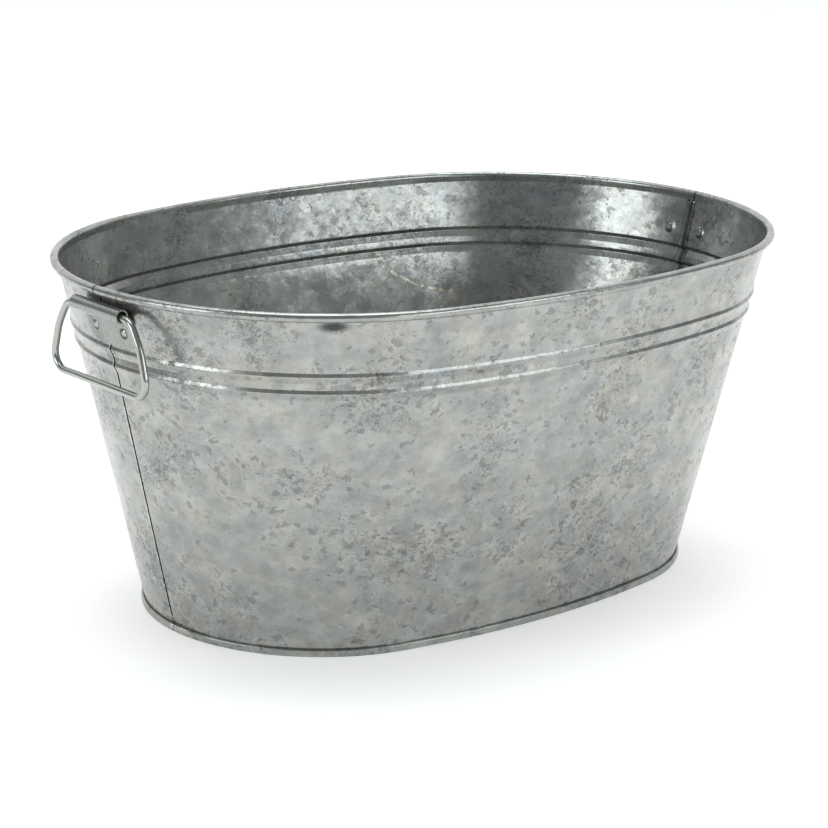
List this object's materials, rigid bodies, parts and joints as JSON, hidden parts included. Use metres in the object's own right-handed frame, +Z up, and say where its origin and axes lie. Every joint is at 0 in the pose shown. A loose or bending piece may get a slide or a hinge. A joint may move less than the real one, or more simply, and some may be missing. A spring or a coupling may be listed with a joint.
{
  "type": "oval galvanised tub",
  "caption": "Oval flared sheet-metal tub with a wire-rolled rim, ribs below it, lock-seamed ends, a double-seamed base and swinging drop handles in riveted brackets.",
  "frame": {"origin": "centre of the oval at the floor plane, under the middle of the tub", "axes": "+X along the tub's length towards the right handle, +Y across the tub, +Z up"},
  "size_m": [0.5546, 0.388, 0.249],
  "materials": {
    "galvanised_wall": "hot-dip galvanised, mottled and dull",
    "galvanised_base": "hot-dip galvanised, mottled and dull",
    "steel_wire": "bare drawn wire",
    "bracket_plate": "galvanised, satin",
    "handle_wire": "galvanised wire, satin",
    "rivet": "galvanised, satin"
  },
  "bodies": {
    "tub": {"front_shell": "galvanised_wall", "back_shell": "galvanised_wall", "base_panel": "galvanised_base", "rim_wire": "steel_wire", "left_bracket": "bracket_plate", "right_bracket": "bracket_plate", "left_rivet_front": "rivet", "left_rivet_back": "rivet", "right_rivet_front": "rivet", "right_rivet_back": "rivet"},
    "left_handle": {"left_handle": "handle_wire"},
    "right_handle": {"right_handle": "handle_wire"}
  },
  "joints": [
    {"name": "left_handle_swing", "type": "hinge", "parent": "tub", "child": "left_handle", "pos_m": [-0.27261, 0, 0.2331], "axis": [0, 1, 0], "range_deg": [-15.5, 178]},
    {"name": "right_handle_swing", "type": "hinge", "parent": "tub", "child": "right_handle", "pos_m": [0.27261, 0, 0.2331], "axis": [0, -1, 0], "range_deg": [-15.5, 178]}
  ]
}
